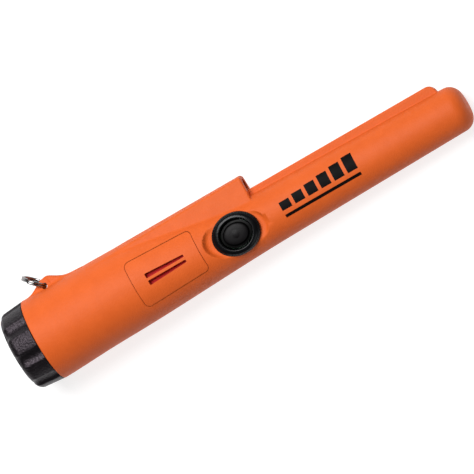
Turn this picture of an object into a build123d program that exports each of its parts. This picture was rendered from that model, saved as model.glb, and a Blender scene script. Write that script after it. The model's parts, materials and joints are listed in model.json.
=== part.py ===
from build123d import *
from math import atan2, cos, degrees, radians, sin, sqrt
import os

# Hand-held pinpointer probe. Lengths are in millimetres.
# Origin: centre of the battery cap's rear face. +X runs along the handle to the probe tip,
# +Z points out through the power button, +Y points out through the spine and scraping blade.

# Overall
LENGTH = 229.0
SEAM_X = 12.4
WALL = 2.1
SEAM_GAP = 0.2
RUNNING_GAP = 0.05

# Handle and probe tube: circles along X that blend from the rear taper to the probe's taper
REAR_RADIUS = 19.5
REAR_TAPER = 0.020
REAR_LIFT = 0.6
REAR_LIFT_END = 42.0
PROBE_Y = -2.9
TIP_RADIUS = 10.65
PROBE_TAPER = 0.0176
BLEND_START = 50.0
BLEND_END = 134.0
OUTER_STATIONS = 15
INNER_STATIONS = 9
TIP_EDGE = 6.0
TIP_WALL = 3.4

# Spine on the +Y side
SPINE_FRONT = 125.6
SPINE_TOP = 19.5
SPINE_CROWN_RADIUS = 19.0
SPINE_RINGS = [(46.0, SPINE_TOP - 0.35, 8.9), (66.0, SPINE_TOP - 0.05, 8.3), (SPINE_FRONT, SPINE_TOP, 5.5)]
SPINE_ROOT = 1.0
SPINE_DRAFT = 0.17

# Scraping blade on the +Y side of the probe
BLADE_TOP = 12.2
BLADE_END = 220.3
BLADE_END_RADIUS = 4.3
BLADE_HALF = 1.8

# Lanyard loop and its split ring
EYE_X = 25.4
EYE_Y = 20.4
EYE_RADIUS = 1.65
LOOP_HALF = 2.5
EYELET_HALF = 2.9
EYELET_RADIUS = 2.9
RING_ANGLE = 133.0
RING_RADIUS = 5.5
RING_WIRE = 0.55

# Battery cap
CAP_REAR_RADIUS = 18.3
CAP_FRONT_RADIUS = 19.4
CAP_EDGE = 2.6
CAP_FLUTES = 8
FLUTE_RADIUS = 4.6
FLUTE_DEPTH = 1.35
FLUTE_FIRST_ANGLE = 101.8
BORE_RADIUS = 17.0
BORE_END = 22.0
PLUG_RADIUS = 16.4
PLUG_END = 20.4
PLUG_HOLLOW = 14.2
CAP_FLOOR = 3.6
SEAL_X = 14.9
SEAL_WIRE = 0.66
SEAL_GROOVE_RADIUS = 15.6

# Battery compartment
BATTERY_LENGTH = 48.5
BATTERY_WIDTH = 26.5
BATTERY_DEPTH = 17.5
BATTERY_X = 21.4
BATTERY_Y = 0.2
TERMINAL_PITCH = 12.7
TERMINAL_HEIGHT = 2.6

# Speaker cover: a rounded panel flush with the handle
PANEL_REAR = 62.6
PANEL_FRONT = 95.0
PANEL_Y = 0.1
PANEL_REAR_WIDTH = 22.0
PANEL_FRONT_WIDTH = 19.6
PANEL_CORNER = 2.2
PANEL_THICK = 1.7
PANEL_GAP = 0.25
PANEL_LEDGE = 1.6
SLOT_REAR = 69.2
SLOT_FRONT = 88.2

# Power button
BUTTON_X = 112.8
BUTTON_Y = -2.0
BEZEL_X = 11.3
BEZEL_Y = 9.6
BEZEL_FLOOR = 9.0
BEZEL_TOP = 13.3
BEZEL_HOLE_X = 7.6
BEZEL_HOLE_Y = 6.8
PAD_X = 5.9
PAD_Y = 4.8
PAD_TOP = 12.6
FLANGE_CLEARANCE = 0.35
BUTTON_TRAVEL = 0.6
STEM_RADIUS = 1.6
STEM_END = 5.2
DISH_X = 14.4
DISH_Y = 9.7
DISH_FLARE = 2.4
DISH_FLOOR = 11.0
DISH_DEPTH = 5.0
DISH_LEAN = 0.055
BOSS_UNDERSIDE = 7.0

# Electronics
BOARD_TOP = 0.0
BOARD_THICK = 1.6
BOARD_REAR = 80.0
BOARD_FRONT = 164.0
BOARD_WIDTH = 16.0
TRAY_OUTER = 9.1
TRAY_INNER = 7.8
BULKHEAD_X = 76.0
BULKHEAD_THICK = 2.4
PLATE_THICK = 2.0
MOTOR_X = 108.0
MOTOR_RADIUS = 2.2
MOTOR_LENGTH = 11.0
MOTOR_Z = -4.8
WEIGHT_LENGTH = 4.0
LED_Y = 14.4
LENS_RADIUS = 3.4
LENS_FRONT = 124.1

# Search head in the probe
CORE_RADIUS = 4.0
CORE_REAR = 168.0
CORE_FRONT = 222.0
BOBBIN_REAR = 173.0
BOBBIN_FRONT = 221.0
BOBBIN_TUBE = 4.9
BOBBIN_FLANGE = 7.6
FLANGE_THICK = 1.2
TRANSMIT_TURNS_RADIUS = 7.0
RECEIVE_TURNS_RADIUS = 6.6


os.makedirs("parts", exist_ok=True)
made = []


def keep(piece, name):
    """Label a finished part and write it as its own STEP file."""
    piece.part.label = name
    export_step(piece.part, "parts/" + name + ".step")
    made.append(name)


def smooth_step(x, start, end):
    """Rise smoothly from 0 at start to 1 at end."""
    share = min(max((x - start) / (end - start), 0.0), 1.0)
    return share * share * (3.0 - 2.0 * share)


def handle_circle(x, wall=0.0):
    """Centre y and radius of the handle's cross-section at x, drawn in by a wall."""
    blend = smooth_step(x, BLEND_START, BLEND_END)
    rear_radius = REAR_RADIUS - REAR_TAPER * (x - SEAM_X)
    probe_radius = TIP_RADIUS + PROBE_TAPER * (LENGTH - TIP_EDGE - x)
    lift = REAR_LIFT * smooth_step(x, SEAM_X, REAR_LIFT_END)
    centre = lift * (1.0 - blend) + PROBE_Y * blend
    return centre, rear_radius * (1.0 - blend) + probe_radius * blend - wall


def tapered_body(x_start, x_end, stations, wall=0.0, ruled=False):
    """Add a loft through the handle's cross-sections."""
    faces = []
    for number in range(stations):
        x = x_start + (x_end - x_start) * number / (stations - 1)
        centre, radius = handle_circle(x, wall)
        with BuildSketch(Plane.YZ.offset(x)) as ring:
            with Locations((centre, 0)):
                Circle(radius)
        faces.append(ring.sketch.face())
    loft(faces, ruled=ruled)


def rod(x_start, x_end, y, z, radius, mode=Mode.ADD):
    """Add or cut a cylinder that lies along X."""
    with BuildSketch(Plane.YZ.offset(x_start)) as disc:
        with Locations((y, z)):
            Circle(radius)
    extrude(disc.sketch, amount=x_end - x_start, mode=mode)


def tube(x_start, x_end, y, z, outer, inner):
    """Add a tube that lies along X."""
    with BuildSketch(Plane.YZ.offset(x_start)) as ring:
        with Locations((y, z)):
            Circle(outer)
            Circle(inner, mode=Mode.SUBTRACT)
    extrude(ring.sketch, amount=x_end - x_start)


def block(x_span, y_span, z_span, mode=Mode.ADD):
    """Add or cut a box between two corners."""
    with BuildSketch(Plane.XY.offset(z_span[0])) as footprint:
        with Locations(((x_span[0] + x_span[1]) / 2, (y_span[0] + y_span[1]) / 2)):
            Rectangle(x_span[1] - x_span[0], y_span[1] - y_span[0])
    extrude(footprint.sketch, amount=z_span[1] - z_span[0], mode=mode)


def oval(z_start, z_end, half_x, half_y, mode=Mode.ADD):
    """Add or cut an oval post centred on the power button."""
    with BuildSketch(Plane.XY.offset(z_start)) as footprint:
        with Locations((BUTTON_X, BUTTON_Y)):
            Ellipse(half_x, half_y)
    extrude(footprint.sketch, amount=z_end - z_start, mode=mode)


def panel_prism(inset):
    """Add the speaker cover's outline as a tall prism, inset all round."""
    rear = PANEL_REAR + inset
    front = PANEL_FRONT - inset
    rear_half = PANEL_REAR_WIDTH / 2 - inset
    front_half = PANEL_FRONT_WIDTH / 2 - inset
    with BuildSketch(Plane.XY.offset(4.0)) as outline:
        with BuildLine():
            Polyline(
                (rear, PANEL_Y - rear_half),
                (front, PANEL_Y - front_half),
                (front, PANEL_Y + front_half),
                (rear, PANEL_Y + rear_half),
                close=True,
            )
        make_face()
        fillet(outline.vertices(), max(PANEL_CORNER - inset, 0.5))
    extrude(outline.sketch, amount=20.0)


def spine_ring(x, crown, half):
    """Sketch one cross-section of the spine: crowned top, drafted flanks."""
    shoulder = crown - SPINE_CROWN_RADIUS + sqrt(SPINE_CROWN_RADIUS**2 - half**2)
    root_half = half + SPINE_DRAFT * (shoulder - SPINE_ROOT)
    with BuildSketch(Plane.YZ.offset(x)) as section:
        with BuildLine():
            ThreePointArc((shoulder, -half), (crown, 0), (shoulder, half))
            Line((shoulder, half), (SPINE_ROOT, root_half))
            Line((SPINE_ROOT, root_half), (SPINE_ROOT, -root_half))
            Line((SPINE_ROOT, -root_half), (shoulder, -half))
        make_face()
    return section.sketch.face()


# Forms that several pieces share

with BuildPart() as handle_form:
    tapered_body(SEAM_X, LENGTH - TIP_EDGE, OUTER_STATIONS)

with BuildPart() as tip_form:
    with BuildSketch(Plane.XY):
        with BuildLine():
            Line((LENGTH - TIP_EDGE - 1.0, PROBE_Y), (LENGTH - TIP_EDGE - 1.0, PROBE_Y + TIP_RADIUS - 1.0))
            Line(
                (LENGTH - TIP_EDGE - 1.0, PROBE_Y + TIP_RADIUS - 1.0),
                (LENGTH - TIP_EDGE, PROBE_Y + TIP_RADIUS),
            )
            TangentArc(
                (LENGTH - TIP_EDGE, PROBE_Y + TIP_RADIUS),
                (LENGTH, PROBE_Y + TIP_RADIUS - TIP_EDGE),
                tangent=(1, 0),
            )
            Line((LENGTH, PROBE_Y + TIP_RADIUS - TIP_EDGE), (LENGTH, PROBE_Y))
            Line((LENGTH, PROBE_Y), (LENGTH - TIP_EDGE - 1.0, PROBE_Y))
        make_face()
    revolve(axis=Axis((0, PROBE_Y, 0), (1, 0, 0)))

with BuildPart() as cover_underside:
    tapered_body(SEAM_X + 30.0, BUTTON_X, INNER_STATIONS, PANEL_THICK, ruled=True)

with BuildPart() as spine_form:
    loft([spine_ring(*ring) for ring in SPINE_RINGS])
    spine_top = spine_form.edges().filter_by(lambda e: e.center().Y > 17.0 and abs(e.center().Z) > 4.0)
    fillet(spine_top, 1.0)
    fillet(spine_form.faces().sort_by(Axis.X)[-1].edges().group_by(Axis.Y)[1:], 0.5)

# Housing: one hollow moulding with its spine, blade, lanyard loop and button boss

with BuildPart() as blade_form:
    with BuildSketch(Plane.XY):
        with BuildLine():
            Line((118.0, BLADE_TOP), (BLADE_END - BLADE_END_RADIUS, BLADE_TOP))
            TangentArc(
                (BLADE_END - BLADE_END_RADIUS, BLADE_TOP),
                (BLADE_END, BLADE_TOP - BLADE_END_RADIUS),
                tangent=(1, 0),
            )
            Polyline(
                (BLADE_END, BLADE_TOP - BLADE_END_RADIUS), (BLADE_END, 6.5), (118.0, 6.5), (118.0, BLADE_TOP)
            )
        make_face()
    extrude(amount=BLADE_HALF, both=True)
    fillet(blade_form.edges().filter_by(lambda e: e.center().Y > 8.0 and abs(e.center().Z) > 1.0), 0.6)

with BuildPart() as loop_form:
    with BuildSketch(Plane.XY):
        with BuildLine() as loop_line:
            rise = Line((16.4, 18.6), (24.3, 23.2))
            crest = TangentArc(rise @ 1, (28.0, 23.7), tangent=rise % 1)
            Spline(crest @ 1, (34.0, 20.8), (43.0, 18.9), tangents=(crest % 1, (1, -0.05)))
            Polyline((43.0, 18.9), (43.0, 15.5), (16.4, 15.5), (16.4, 18.6))
        make_face()
    extrude(amount=LOOP_HALF, both=True)
    loop_rim = loop_form.edges().filter_by(lambda e: e.center().Y > 19.0 and abs(e.center().Z) > 1.0)
    fillet(loop_rim, 1.1)
    with BuildSketch(Plane.XY):
        with Locations((EYE_X, EYE_Y)):
            Circle(EYELET_RADIUS)
    extrude(amount=EYELET_HALF, both=True)
    with BuildSketch(Plane.XY):
        with Locations((EYE_X, EYE_Y)):
            Circle(EYE_RADIUS)
    extrude(amount=12.0, both=True, mode=Mode.SUBTRACT)

with BuildPart() as eye_bore:
    with BuildSketch(Plane.XY):
        with Locations((EYE_X, EYE_Y)):
            Circle(EYE_RADIUS)
    extrude(amount=12.0, both=True)

with BuildPart() as cavity:
    tapered_body(BORE_END - 1.0, LENGTH - TIP_WALL, INNER_STATIONS, WALL, ruled=True)
    block((96.0, 129.5), (-20.0, 20.0), (BOSS_UNDERSIDE, 20.0), Mode.SUBTRACT)

with BuildPart() as dish:
    dish_floor = Plane(
        origin=(BUTTON_X, BUTTON_Y, DISH_FLOOR),
        x_dir=(1, 0, -DISH_LEAN),
        z_dir=(DISH_LEAN, 0, 1),
    )
    with BuildSketch(dish_floor):
        Ellipse(DISH_X, DISH_Y)
    with BuildSketch(dish_floor.offset(DISH_DEPTH)):
        Ellipse(DISH_X + DISH_FLARE, DISH_Y + DISH_FLARE)
    loft(ruled=True)
    fillet(dish.faces().sort_by(Axis.Z)[0].edges(), 0.9)

with BuildPart() as cover_pocket:
    panel_prism(-PANEL_GAP)
    add(cover_underside.part, mode=Mode.SUBTRACT)

with BuildPart() as cover_opening:
    panel_prism(PANEL_LEDGE)

with BuildPart() as housing:
    add(handle_form.part)
    add(tip_form.part)
    add(dish.part, mode=Mode.SUBTRACT)
    add(spine_form.part)
    add(blade_form.part)
    add(loop_form.part)
    add(eye_bore.part, mode=Mode.SUBTRACT)
    add(cavity.part, mode=Mode.SUBTRACT)
    rod(SEAM_X - 1.0, BORE_END, 0.0, 0.0, BORE_RADIUS, Mode.SUBTRACT)
    add(cover_pocket.part, mode=Mode.SUBTRACT)
    add(cover_opening.part, mode=Mode.SUBTRACT)
    oval(BEZEL_FLOOR, 30.0, BEZEL_X + 0.12, BEZEL_Y + 0.12, Mode.SUBTRACT)
    oval(BOSS_UNDERSIDE - 2.0, BEZEL_FLOOR + 1.0, STEM_RADIUS + 0.5, STEM_RADIUS + 0.5, Mode.SUBTRACT)
    rod(107.0, SPINE_FRONT + 5.0, LED_Y, 0.0, LENS_RADIUS + RUNNING_GAP, Mode.SUBTRACT)
    with BuildSketch(Plane.XZ.offset(-LED_Y)):
        with Locations((109.0, 0.0)):
            Circle(1.5)
    extrude(amount=LED_Y - 6.0, mode=Mode.SUBTRACT)
keep(housing, "housing")

# Speaker cover with its two tapered sound slots

with BuildPart() as speaker_cover:
    panel_prism(0.0)
    add(handle_form.part, mode=Mode.INTERSECT)
    add(cover_underside.part, mode=Mode.SUBTRACT)
    for side in (-1, 1):
        with BuildSketch(Plane.XY.offset(5.0)) as slot:
            with BuildLine():
                Polyline(
                    (SLOT_REAR, PANEL_Y + side * 0.62),
                    (SLOT_FRONT, PANEL_Y + side * 0.62),
                    (SLOT_FRONT, PANEL_Y + side * 1.85),
                    (SLOT_REAR, PANEL_Y + side * 2.85),
                    close=True,
                )
            make_face()
            fillet(slot.vertices(), 0.3)
        extrude(amount=20.0, mode=Mode.SUBTRACT)
keep(speaker_cover, "speaker_cover")

# Power button: oval bezel, travelling pad with its stem, and the rubber return dome

with BuildPart() as button_bezel:
    oval(BEZEL_FLOOR, BEZEL_TOP, BEZEL_X, BEZEL_Y)
    fillet(button_bezel.faces().sort_by(Axis.Z)[-1].edges(), 1.9)
    oval(BEZEL_FLOOR, BEZEL_TOP + 1.0, BEZEL_HOLE_X, BEZEL_HOLE_Y, Mode.SUBTRACT)
    rim = button_bezel.edges().filter_by(lambda e: e.center().Z > BEZEL_TOP - 0.2).sort_by(SortBy.LENGTH)[0]
    fillet(rim, 0.6)
keep(button_bezel, "button_bezel")

with BuildPart() as power_button:
    oval(10.6, 11.5, BEZEL_HOLE_X - FLANGE_CLEARANCE, BEZEL_HOLE_Y - FLANGE_CLEARANCE)
    oval(11.5, PAD_TOP, PAD_X, PAD_Y)
    fillet(power_button.faces().sort_by(Axis.Z)[-1].edges(), 0.8)
    oval(PAD_TOP - 0.3, PAD_TOP + 0.25, 0.9, 0.9)
    oval(STEM_END, 10.6, STEM_RADIUS, STEM_RADIUS)
keep(power_button, "power_button")

with BuildPart() as return_dome:
    oval(BEZEL_FLOOR, 10.55, 5.2, 4.4)
    oval(BEZEL_FLOOR, 10.55, 3.6, 2.9, Mode.SUBTRACT)
keep(return_dome, "return_dome")

with BuildPart() as tactile_switch:
    block((BUTTON_X - 3.0, BUTTON_X + 3.0), (BUTTON_Y - 3.0, BUTTON_Y + 3.0), (BOARD_TOP, 3.4))
    fillet(tactile_switch.edges().filter_by(Axis.Z), 0.5)
    oval(0.5, 4.0, 1.8, 1.8, Mode.SUBTRACT)
keep(tactile_switch, "tactile_switch")

with BuildPart() as switch_plunger:
    oval(1.3, STEM_END - 0.02, 1.72, 1.72)
keep(switch_plunger, "switch_plunger")

# Battery cap, its seal and the cushion that presses on the battery

with BuildPart() as battery_cap:
    with BuildSketch(Plane.XY):
        with BuildLine():
            face = Line((0.0, 0.0), (0.0, CAP_REAR_RADIUS - CAP_EDGE))
            edge = TangentArc(face @ 1, (CAP_EDGE, CAP_REAR_RADIUS), tangent=(0, 1))
            side = Line(edge @ 1, (SEAM_X - SEAM_GAP - 0.3, CAP_FRONT_RADIUS))
            Polyline(
                side @ 1,
                (SEAM_X - SEAM_GAP, CAP_FRONT_RADIUS - 0.3),
                (SEAM_X - SEAM_GAP, PLUG_RADIUS),
                (SEAL_X - 0.9, PLUG_RADIUS),
                (SEAL_X - 0.9, SEAL_GROOVE_RADIUS),
                (SEAL_X + 0.9, SEAL_GROOVE_RADIUS),
                (SEAL_X + 0.9, PLUG_RADIUS),
                (PLUG_END - 0.6, PLUG_RADIUS),
                (PLUG_END, PLUG_RADIUS - 0.6),
                (PLUG_END, PLUG_HOLLOW),
                (CAP_FLOOR, PLUG_HOLLOW),
                (CAP_FLOOR, 0.0),
                (0.0, 0.0),
            )
        make_face()
    revolve(axis=Axis.X)
    flute_tilt = degrees(atan2(CAP_FRONT_RADIUS - CAP_REAR_RADIUS, SEAM_X - CAP_EDGE))
    flute_reach = CAP_REAR_RADIUS - 0.3 + FLUTE_RADIUS - FLUTE_DEPTH
    flute_spots = [FLUTE_FIRST_ANGLE + turn * 360.0 / CAP_FLUTES for turn in range(CAP_FLUTES)]
    for angle in flute_spots:
        radial = Vector(0, cos(radians(angle)), sin(radians(angle)))
        across = Vector(0, -sin(radians(angle)), cos(radians(angle)))
        with Locations(Plane(origin=radial * flute_reach, x_dir=across, z_dir=(1, 0, 0))):
            Cylinder(FLUTE_RADIUS, 60.0, rotation=(flute_tilt, 0, 0), mode=Mode.SUBTRACT)
keep(battery_cap, "battery_cap")

with BuildPart() as cap_seal:
    with BuildSketch(Plane.XY):
        with Locations((SEAL_X, SEAL_GROOVE_RADIUS + SEAL_WIRE + 0.02)):
            Circle(SEAL_WIRE)
    revolve(axis=Axis.X)
keep(cap_seal, "cap_seal")

with BuildPart() as battery_cushion:
    rod(CAP_FLOOR, BATTERY_X - 0.1, 0.0, 0.0, PLUG_HOLLOW - 0.3)
    fillet(battery_cushion.edges(), 1.0)
keep(battery_cushion, "battery_cushion")

# Battery with its snap terminals, and the contact plate that they press on

battery_front = BATTERY_X + BATTERY_LENGTH
with BuildPart() as battery:
    block(
        (BATTERY_X, battery_front),
        (BATTERY_Y - BATTERY_WIDTH / 2, BATTERY_Y + BATTERY_WIDTH / 2),
        (-BATTERY_DEPTH / 2, BATTERY_DEPTH / 2),
    )
    fillet(battery.edges().filter_by(Axis.X), 2.2)
    fillet(battery.faces().filter_by(Axis.X).edges(), 0.5)
keep(battery, "battery")

terminal_spots = [(BATTERY_Y - TERMINAL_PITCH / 2, 2.9), (BATTERY_Y + TERMINAL_PITCH / 2, 3.9)]
with BuildPart() as battery_terminals:
    for y, radius in terminal_spots:
        rod(battery_front, battery_front + TERMINAL_HEIGHT, y, 0.0, radius)
keep(battery_terminals, "battery_terminals")

plate_x = BULKHEAD_X - PLATE_THICK
with BuildPart() as contact_plate:
    block((plate_x, BULKHEAD_X), (BATTERY_Y - 12.6, BATTERY_Y + 12.6), (-6.5, 6.5))
    fillet(contact_plate.edges().filter_by(Axis.X), 1.5)
    for side in (-1, 1):
        rod(plate_x - 1.0, BULKHEAD_X + 1.0, BATTERY_Y, side * 4.2, 0.9, Mode.SUBTRACT)
keep(contact_plate, "contact_plate")

with BuildPart() as contact_springs:
    for y, radius in terminal_spots:
        tube(battery_front + TERMINAL_HEIGHT, plate_x, y, 0.0, 2.7, 2.1)
keep(contact_springs, "contact_springs")

with BuildPart() as contact_screws:
    for side in (-1, 1):
        rod(plate_x, BULKHEAD_X + 2.0, BATTERY_Y, side * 4.2, 0.85)
        rod(plate_x - 0.9, plate_x, BATTERY_Y, side * 4.2, 1.7)
keep(contact_screws, "contact_screws")

# Chassis: bulkhead, half-round tray and the collar that grips the ferrite core

with BuildPart() as chassis:
    rod(BULKHEAD_X, BULKHEAD_X + BULKHEAD_THICK, -0.2, 0.0, 14.5)
    rod(BULKHEAD_X, CORE_REAR, PROBE_Y, 0.0, TRAY_OUTER)
    rod(BULKHEAD_X + BULKHEAD_THICK, CORE_REAR, PROBE_Y, 0.0, TRAY_INNER, Mode.SUBTRACT)
    block((BULKHEAD_X + BULKHEAD_THICK, CORE_REAR - 2.5), (-20.0, 20.0), (-BOARD_THICK, 20.0), Mode.SUBTRACT)
    block((BULKHEAD_X - 1.0, BULKHEAD_X + 4.0), (-20.0, 20.0), (8.2, 20.0), Mode.SUBTRACT)
    tube(CORE_REAR - 2.5, CORE_REAR, PROBE_Y, 0.0, TRAY_OUTER, 3.0)
    tube(CORE_REAR, CORE_REAR + 4.0, PROBE_Y, 0.0, CORE_RADIUS + 2.0, CORE_RADIUS + 0.02)
    for side in (-1, 1):
        rod(BULKHEAD_X - 1.0, BULKHEAD_X + BULKHEAD_THICK, BATTERY_Y, side * 4.2, 0.9, Mode.SUBTRACT)
    for x in (BOARD_REAR + 4.0, BOARD_FRONT - 4.0):
        for side in (-1, 1):
            block(
                (x - 1.6, x + 1.6),
                (PROBE_Y + side * 6.0 - 1.4, PROBE_Y + side * 6.0 + 1.4),
                (-6.0, -BOARD_THICK),
            )
keep(chassis, "chassis")

with BuildPart() as circuit_board:
    block(
        (BOARD_REAR, BOARD_FRONT),
        (PROBE_Y - BOARD_WIDTH / 2, PROBE_Y + BOARD_WIDTH / 2),
        (-BOARD_THICK, BOARD_TOP),
    )
    fillet(circuit_board.edges().filter_by(Axis.Z), 1.0)
keep(circuit_board, "circuit_board")

with BuildPart() as board_screws:
    for x in (BOARD_REAR + 4.0, BOARD_FRONT - 4.0):
        for side in (-1, 1):
            with BuildSketch(Plane.XY.offset(BOARD_TOP)):
                with Locations((x, PROBE_Y + side * 6.0)):
                    Circle(1.6)
            extrude(amount=0.9)
            fillet(board_screws.faces().group_by(Axis.Z)[-1].edges(), 0.3)
keep(board_screws, "board_screws")

with BuildPart() as microcontroller:
    block((138.0, 147.0), (PROBE_Y - 4.5, PROBE_Y + 4.5), (BOARD_TOP, 1.4))
    fillet(microcontroller.faces().sort_by(Axis.Z)[-1].edges(), 0.2)
keep(microcontroller, "microcontroller")

with BuildPart() as amplifier_chip:
    block((126.0, 131.0), (PROBE_Y - 2.0, PROBE_Y + 2.0), (BOARD_TOP, 1.4))
    fillet(amplifier_chip.faces().sort_by(Axis.Z)[-1].edges(), 0.2)
keep(amplifier_chip, "amplifier_chip")

with BuildPart() as capacitors:
    for x, y in ((90.0, -7.5), (97.0, -7.5), (152.0, 0.5), (152.0, -6.0)):
        with BuildSketch(Plane.XY.offset(BOARD_TOP)):
            with Locations((x, y)):
                Circle(2.0)
        extrude(amount=4.2)
keep(capacitors, "capacitors")

with BuildPart() as coil_connector:
    block((156.0, 160.0), (PROBE_Y - 3.6, PROBE_Y + 3.6), (BOARD_TOP, 3.2))
    for number in range(4):
        pin_y = PROBE_Y - 2.55 + number * 1.7
        rod(157.0, 161.0, pin_y, 1.8, 0.55, Mode.SUBTRACT)
keep(coil_connector, "coil_connector")

# Sounder behind the slotted cover: screen, gasket ring and piezo disc in its can

screen_plane = Plane(
    origin=(79.0, PANEL_Y, 13.1),
    x_dir=(cos(radians(4.0)), 0, -sin(radians(4.0))),
    z_dir=(sin(radians(4.0)), 0, cos(radians(4.0))),
)
with BuildPart() as speaker_screen:
    with BuildSketch(screen_plane):
        RectangleRounded(23.0, 8.6, 1.0)
    extrude(amount=0.5)
keep(speaker_screen, "speaker_screen")

with BuildPart() as speaker_gasket:
    with BuildSketch(Plane.XY.offset(11.4)):
        with Locations((80.0, -0.3)):
            Circle(7.9)
            Circle(6.9, mode=Mode.SUBTRACT)
    extrude(amount=1.1)
keep(speaker_gasket, "speaker_gasket")

with BuildPart() as speaker:
    with BuildSketch(Plane.XY.offset(9.0)):
        with Locations((80.0, -0.3)):
            Circle(8.0)
    extrude(amount=2.4)
    fillet(speaker.faces().sort_by(Axis.Z)[0].edges(), 0.6)
keep(speaker, "speaker")

# Vibration motor under the board, with its eccentric weight on the shaft

with BuildPart() as vibration_motor:
    rod(MOTOR_X, MOTOR_X + MOTOR_LENGTH, PROBE_Y, MOTOR_Z, MOTOR_RADIUS)
    rod(MOTOR_X + MOTOR_LENGTH, MOTOR_X + MOTOR_LENGTH + WEIGHT_LENGTH + 1.5, PROBE_Y, MOTOR_Z, 0.5)
keep(vibration_motor, "vibration_motor")

with BuildPart() as motor_weight:
    with BuildSketch(Plane.YZ.offset(MOTOR_X + MOTOR_LENGTH + 0.6)):
        with BuildLine():
            ThreePointArc((PROBE_Y - 2.1, MOTOR_Z), (PROBE_Y, MOTOR_Z - 2.1), (PROBE_Y + 2.1, MOTOR_Z))
            Line((PROBE_Y + 2.1, MOTOR_Z), (PROBE_Y + 1.0, MOTOR_Z + 1.0))
            Line((PROBE_Y + 1.0, MOTOR_Z + 1.0), (PROBE_Y - 1.0, MOTOR_Z + 1.0))
            Line((PROBE_Y - 1.0, MOTOR_Z + 1.0), (PROBE_Y - 2.1, MOTOR_Z))
        make_face()
        with Locations((PROBE_Y, MOTOR_Z)):
            Circle(0.5 + RUNNING_GAP, mode=Mode.SUBTRACT)
    extrude(amount=WEIGHT_LENGTH)
keep(motor_weight, "motor_weight")

with BuildPart() as motor_clip:
    with BuildSketch(Plane.YZ.offset(MOTOR_X + 2.0)):
        with BuildLine():
            Polyline(
                (PROBE_Y - 3.4, MOTOR_Z + 1.0),
                (PROBE_Y - 3.4, -7.0),
                (PROBE_Y - 2.4, -7.35),
                (PROBE_Y + 2.4, -7.35),
                (PROBE_Y + 3.4, -7.0),
                (PROBE_Y + 3.4, MOTOR_Z + 1.0),
                close=True,
            )
        make_face()
        with Locations((PROBE_Y, MOTOR_Z)):
            Circle(MOTOR_RADIUS + 0.02, mode=Mode.SUBTRACT)
        with Locations((PROBE_Y, MOTOR_Z + 2.0)):
            Rectangle(2 * MOTOR_RADIUS + 0.04, 4.0, mode=Mode.SUBTRACT)
    extrude(amount=7.0)
keep(motor_clip, "motor_clip")

# Lamp in the spine's front wall

with BuildPart() as lamp_lens:
    rod(LENS_FRONT - 1.6, LENS_FRONT, LED_Y, 0.0, LENS_RADIUS)
    fillet(lamp_lens.faces().sort_by(Axis.X)[-1].edges(), 0.3)
keep(lamp_lens, "lamp_lens")

with BuildPart() as lamp_led:
    rod(LENS_FRONT - 10.5, LENS_FRONT - 9.5, LED_Y, 0.0, 2.9)
    rod(LENS_FRONT - 9.5, LENS_FRONT - 1.8, LED_Y, 0.0, 2.5)
    fillet(lamp_led.faces().sort_by(Axis.X)[-1].edges(), 2.3)
keep(lamp_led, "lamp_led")

with BuildPart() as lamp_holder:
    tube(LENS_FRONT - 13.5, LENS_FRONT - 10.5, LED_Y, 0.0, LENS_RADIUS, 1.4)
    tube(LENS_FRONT - 10.5, LENS_FRONT - 7.0, LED_Y, 0.0, LENS_RADIUS, 2.95)
keep(lamp_holder, "lamp_holder")

# Search head: ferrite core, bobbin, one transmit and two receive windings, tip cushion

winding_width = (BOBBIN_FRONT - BOBBIN_REAR - 4 * FLANGE_THICK) / 3
flange_starts = [BOBBIN_REAR + number * (winding_width + FLANGE_THICK) for number in range(4)]
with BuildPart() as coil_bobbin:
    rod(BOBBIN_REAR, BOBBIN_FRONT, PROBE_Y, 0.0, BOBBIN_TUBE)
    for x in flange_starts:
        rod(x, x + FLANGE_THICK, PROBE_Y, 0.0, BOBBIN_FLANGE)
    rod(BOBBIN_REAR - 1.0, BOBBIN_FRONT + 1.0, PROBE_Y, 0.0, CORE_RADIUS + RUNNING_GAP, Mode.SUBTRACT)
keep(coil_bobbin, "coil_bobbin")

with BuildPart() as ferrite_core:
    rod(CORE_REAR, CORE_FRONT, PROBE_Y, 0.0, CORE_RADIUS)
    fillet(ferrite_core.faces().sort_by(Axis.X)[-1].edges(), 0.4)
keep(ferrite_core, "ferrite_core")

windings = [
    ("receive_coil_rear", RECEIVE_TURNS_RADIUS),
    ("transmit_coil", TRANSMIT_TURNS_RADIUS),
    ("receive_coil_front", RECEIVE_TURNS_RADIUS),
]
for (winding_name, winding_radius), x in zip(windings, flange_starts):
    with BuildPart() as winding:
        tube(x + FLANGE_THICK, x + FLANGE_THICK + winding_width, PROBE_Y, 0.0, winding_radius, BOBBIN_TUBE)
    keep(winding, winding_name)

with BuildPart() as tip_cushion:
    rod(CORE_FRONT - 0.8, LENGTH - TIP_WALL, PROBE_Y, 0.0, 8.2)
    rod(CORE_FRONT - 1.0, CORE_FRONT, PROBE_Y, 0.0, CORE_RADIUS + 0.02, Mode.SUBTRACT)
keep(tip_cushion, "tip_cushion")

# Split ring: two touching turns of round wire, their plane standing along the handle's Z

ring_out = Vector(cos(radians(RING_ANGLE)), sin(radians(RING_ANGLE)), 0)
ring_axis = Vector(sin(radians(RING_ANGLE)), -cos(radians(RING_ANGLE)), 0)
ring_centre = Vector(EYE_X, EYE_Y, 0) + ring_out * RING_RADIUS
with BuildPart() as split_ring:
    for side in (-1, 1):
        ring_plane = Plane(
            origin=ring_centre + ring_axis * (side * RING_WIRE * 0.95), x_dir=ring_out, z_dir=ring_axis
        )
        with Locations(ring_plane):
            Torus(RING_RADIUS, RING_WIRE)
keep(split_ring, "split_ring")

print(len(made), "parts written")
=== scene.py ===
import json
from math import cos, pi, radians, sin, sqrt

import bmesh
import bpy
import numpy as np
from mathutils import Matrix, Vector

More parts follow.
